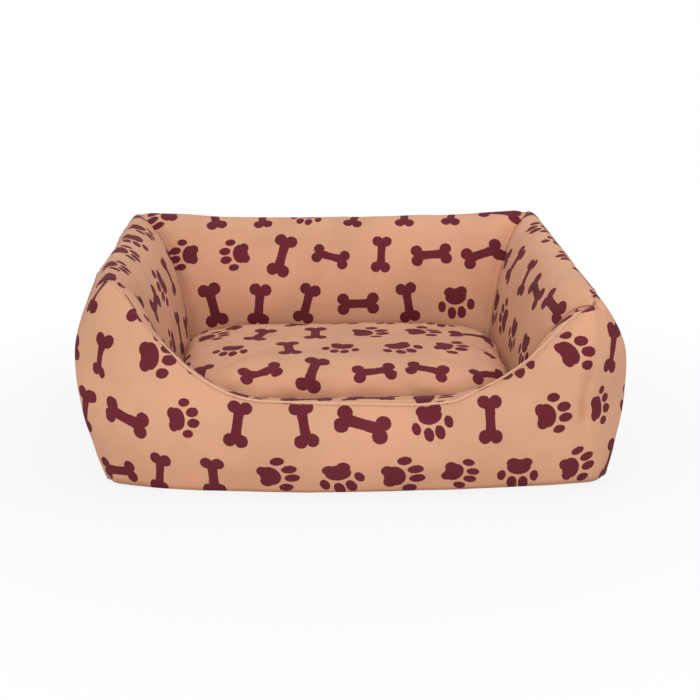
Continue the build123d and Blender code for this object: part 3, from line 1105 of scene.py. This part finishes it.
def smooth_line(knots, count):
    """Points evenly along a smooth curve through the knots."""
    fine = []
    padded = [knots[0], *knots, knots[-1]]
    for a, b, c, d in zip(padded, padded[1:], padded[2:], padded[3:]):
        fine += [[spline(*values, step / 12) for values in zip(a, b, c, d)] for step in range(12)]
    fine = np.array([*fine, knots[-1]], float)
    length = travel_along(fine)
    even = np.linspace(0, length[-1], count)
    return np.stack([np.interp(even, length, fine[:, i]) for i in (0, 1)], axis=1)


# Share of the corner radius at each corner: the rear left one is pressed square
corner_shares = {(1, 1): 1.0, (-1, 1): 0.15, (-1, -1): 0.6, (1, -1): 1.0}


def rounded_loop(half_x, half_y, radius):
    """Points and outward directions once round a rounded rectangle, the same number each time."""
    loop, last_radius = [], radius * corner_shares[(1, -1)]
    quarters = ((1, 1, side_steps), (-1, 1, across_steps), (-1, -1, side_steps), (1, -1, across_steps))
    for quarter, (side_x, side_y, before) in enumerate(quarters):
        bend = radius * corner_shares[(side_x, side_y)]
        corner = Vector((side_x * (half_x - bend), side_y * (half_y - bend)))
        start = quarter * pi / 2
        along = Vector((-sin(start), cos(start)))
        length = 2 * (half_y if quarter % 2 == 0 else half_x) - bend - last_radius
        for step in range(before):
            out = Vector((cos(start), sin(start)))
            loop.append((corner - along * length * (1 - step / before) + out * bend, out))
        for step in range(corner_steps):
            turn = start + pi / 2 * step / corner_steps
            out = Vector((cos(turn), sin(turn)))
            loop.append((corner + out * bend, out))
        last_radius = bend
    return loop


def cushion_half(profile, rings):
    """Loops from near the middle to the seam, with their place on the cloth, by loop and ring."""
    line = smooth_line([(draw * cushion_half_y, share * crown) for draw, share in profile], rings + 1)[1:]
    from_seam = travel_along(line[::-1])[::-1]
    points, prints = [], []
    for (draw, rise), spare in zip(line, from_seam):
        radius = max(cushion_corner - draw, crown_corner * (1 - draw / cushion_half_y) + 0.0005)
        for place, out in rounded_loop(cushion_half_x - draw, cushion_half_y - draw, radius):
            extra = out * (max(0.0, from_seam[0] - spare) - (line[0][0] - draw))
            points.append((place.x, place.y + cushion_mid_y, cushion_low.z + rise))
            prints.append((place.x + extra.x, place.y + extra.y))
    both = (np.array(values).reshape(rings, -1, len(values[0])) for values in (points, prints))
    return [values.transpose(1, 0, 2) for values in both]


def cushion_panel(name, points, prints, up):
    """The upper or lower half of the cushion's cover, from its middle to the seam."""
    count, rings = points.shape[:2]
    faces = grid_faces(count, rings, closed=True)
    faces.append(tuple(i * rings for i in range(count)))
    if not up:
        faces = [tuple(reversed(face)) for face in faces]
    return new_object(name, points.reshape(-1, 3), faces, prints.reshape(-1, 2))


# The cushion's cover, made uneven by its stuffing and settled under air pressure
cushion_swell = 0.0024
cushion_swell_scales = (9, 24)
cushion_swell_height = 0.03
cushion_wrinkle = 0.0030
cushion_wrinkle_reach = 6
cushion_gather = 0.03
pinned_rings = 8
unwrinkled_rings = 10
wrinkle_fade_rings = 12
top_points, top_prints = cushion_half(top_profile, 34)
bottom_points, bottom_prints = cushion_half(bottom_profile, 24)
top_rings = top_points.shape[1]
cover = np.concatenate([top_points, bottom_points[:, ::-1][:, 1:]], axis=1)
cover_normals = normals_of(cover)
for i, j in np.ndindex(cover.shape[:2]):
    place = Vector(cover[i, j])
    broad, small = (noise.noise(place * scale) for scale in cushion_swell_scales)
    fade = clamp((place.z - seam_z) / cushion_swell_height)
    cover[i, j, 2] += cushion_swell * fade * (broad + 0.45 * small)
count, rings = cover.shape[:2]
flat_rings = [i * rings + j for i in range(count) for j in range(rings - pinned_rings, rings)]
seam_ring = [i * rings + j for i in range(count) for j in (top_rings - 2, top_rings - 1, top_rings)]
amounts = (cushion_gather, cushion_wrinkle_reach, cushion_wrinkle)
fine = settled_detail(cover, cover_normals, flat_rings, seam_ring, *amounts)
fine[:, -unwrinkled_rings:] = 0
fine[:, :wrinkle_fade_rings] *= (np.arange(wrinkle_fade_rings) / wrinkle_fade_rings)[None] ** 2
cover += cover_normals * fine[:, :, None]


# The cover's two halves part at the back, where each is sewn to its own side of the zip. The
# cloth is pressed in as far as the pull reaches, and hides the ends of the tape.
zip_clearance = 0.0009
pull_clearance = 0.004
zip_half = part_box("zip_tape_upper")[1].x
zip_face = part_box("zip_tape_upper")[1].y + zip_clearance
zip_joint = next(joint for joint in frame["record"]["behaviour"]["joints"] if joint["name"] == "zip_slide")
pull_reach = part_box("zip_pull")[0].x - zip_joint["range_m"][1] - pull_clearance
zip_gap = 0.0052
zip_gap_run = 0.010
gap_height = 0.03
pressed_height = 0.024
tape_end_cover = 0.0008
tape_end_spare = 0.012
tape_end_run = 0.008
tape_end_height = 0.020
zip_side_share = 0.8
zip_side_y = cushion_mid_y + zip_side_share * cushion_half_y
zip_stitch_margin = 0.008


def opened_at_zip(points, side):
    """A half of the cover with its edge laid back from the zip's middle, above it or below it."""
    opened = points.copy()
    for place in opened.reshape(-1, 3):
        x, y, z = place
        if y <= zip_side_y:
            continue
        rise = max(0, side * (z - seam_z))
        share = ease(clamp((zip_half - abs(x)) / zip_gap_run))
        pressed = ease(clamp(min(zip_half - x, x - pull_reach + zip_gap_run) / zip_gap_run))
        y -= pressed * (1 - ease(clamp(rise / pressed_height))) * (y - zip_face)
        cover_end = clamp((zip_half + tape_end_spare - abs(x)) / tape_end_run)
        cover_end *= 1 - ease(clamp(rise / tape_end_height))
        place[1] = y + cover_end * max(0, zip_face + tape_end_cover - y)
        place[2] += side * zip_gap * share * (1 - clamp(rise / gap_height))
    return opened


top_half = opened_at_zip(cover[:, :top_rings], 1)
bottom_half = opened_at_zip(cover[:, top_rings - 1 :][:, ::-1], -1)
cushion_top = cushion_panel("cushion_top_cloth", top_half, top_prints, True)
dress(cushion_top, cushion_cloth, "cushion", ["cushion_top_panel", "cushion_fill"])
cushion_bottom = cushion_panel("cushion_bottom_cloth", bottom_half, bottom_prints, False)
dress(cushion_bottom, cushion_cloth, "cushion", ["cushion_bottom_panel"])
stitched_half = zip_half - zip_stitch_margin
along_zip = [k for k, (x, y, z) in enumerate(top_half[:, -1]) if y > cushion_mid_y and abs(x) < stitched_half]
for name, half in (("upper_zip_stitches", top_half), ("lower_zip_stitches", bottom_half)):
    path = 0.6 * half[along_zip, -1] + 0.4 * half[along_zip, -2]
    outward = np.tile((0.0, 1.0, 0.0), (len(path), 1))
    stitches(name, path, outward, 0.0034, 0.0025, "cushion")

for node, material in (
    ("zip_tape_upper", tape_cloth),
    ("zip_tape_lower", tape_cloth),
    ("zip_coil", coil_nylon),
    ("zip_stops", slider_metal),
    ("zip_slider", slider_metal),
    ("zip_pull", slider_metal),
):
    frame["nodes"][node].data.materials.clear()
    frame["nodes"][node].data.materials.append(material)


# Room: floor, lamps, world and camera
def seen_or_lit(tree, lit, seen, output):
    """Shows one shader to rays that see the background, the other to rays that light the object."""
    path = tree.nodes.new("ShaderNodeLightPath")
    total = path.outputs["Is Camera Ray"]
    for kind in ("Is Glossy Ray", "Is Transmission Ray"):
        node = tree.nodes.new("ShaderNodeMath")
        node.operation = "MAXIMUM"
        tree.links.new(total, node.inputs[0])
        tree.links.new(path.outputs[kind], node.inputs[1])
        total = node.outputs[0]
    either = tree.nodes.new("ShaderNodeMixShader")
    for source, socket in zip((total, lit, seen), either.inputs):
        tree.links.new(source, socket)
    tree.links.new(either.outputs[0], tree.nodes[output].inputs["Surface"])
    return total, either.inputs[0]


world = bpy.data.worlds.new("studio")
world.use_nodes = True
tree = world.node_tree
lit = tree.nodes["Background"]
lit.inputs["Color"].default_value = (0.93, 0.96, 1.0, 1.0)
lit.inputs["Strength"].default_value = 0.63
white = tree.nodes.new("ShaderNodeBackground")
white.inputs["Color"].default_value = (1, 1, 1, 1)
seen_or_lit(tree, lit.outputs[0], white.outputs[0], "World Output")
bpy.context.scene.world = world

floor_half, floor_z = 60, -0.0002
floor_corners = [(x * floor_half, y * floor_half, floor_z) for x, y in ((-1, -1), (1, -1), (1, 1), (-1, 1))]
floor = new_object("floor", floor_corners, [(0, 1, 2, 3)])
paper = Graph("floor_paper")
paper.finish((0.82, 0.82, 0.82, 1), 0.9)
glow = paper.nodes.new("ShaderNodeEmission")
glow.inputs["Color"].default_value = (1, 1, 1, 1)
floor_tree = paper.material.node_tree
seen, share = seen_or_lit(floor_tree, paper.shader.outputs[0], glow.outputs[0], "Material Output")
across, deep, up = paper.parts(paper.object_place())
away = paper.oval(across, deep, 0.0, 0.0, 1.0, 1.0)
paper.put(share, paper.mul(paper.ramp(away, -0.62, -0.25, 0.84, 1.0), seen))
floor.data.materials.append(paper.material)


def lamp(name, place, size, power, colour=(1.0, 1.0, 1.0)):
    """A soft rectangular lamp, turned to the middle of the bed."""
    data = bpy.data.lights.new(name, "AREA")
    data.shape = "RECTANGLE"
    data.size, data.size_y = size
    data.energy = power
    data.color = colour
    obj = placed(name, data)
    obj.location = place
    obj.rotation_euler = (lamp_aim - Vector(place)).to_track_quat("-Z", "Y").to_euler()


lamp_aim = Vector((0, 0, 0.1))
lamp("key", (-0.1, -2.7, 0.9), (0.8, 0.8), 25, (1.0, 0.97, 0.93))
lamp("overhead", (0, 0, 2.3), (1.8, 1.4), 9)
lamp("right inside", (0.3, -0.02, 1.1), (0.4, 0.4), 0.9)
lamp("left inside", (-0.3, -0.02, 1.1), (0.4, 0.4), 0.2)

camera_data = bpy.data.cameras.new("camera")
camera_data.sensor_width = 36
camera_data.lens = camera_lens
camera_data.shift_x = camera_shift
camera = placed("camera", camera_data)
camera.location = camera_place
camera_turns = ((camera_yaw, "Z"), (camera_pitch, "X"), (camera_roll, "Z"))
yaw, pitch, roll = (Matrix.Rotation(radians(angle), 3, axis) for angle, axis in camera_turns)
camera.rotation_euler = (yaw @ pitch @ roll).to_euler()
bpy.context.scene.camera = camera
bpy.context.scene.view_settings.view_transform = "Standard"
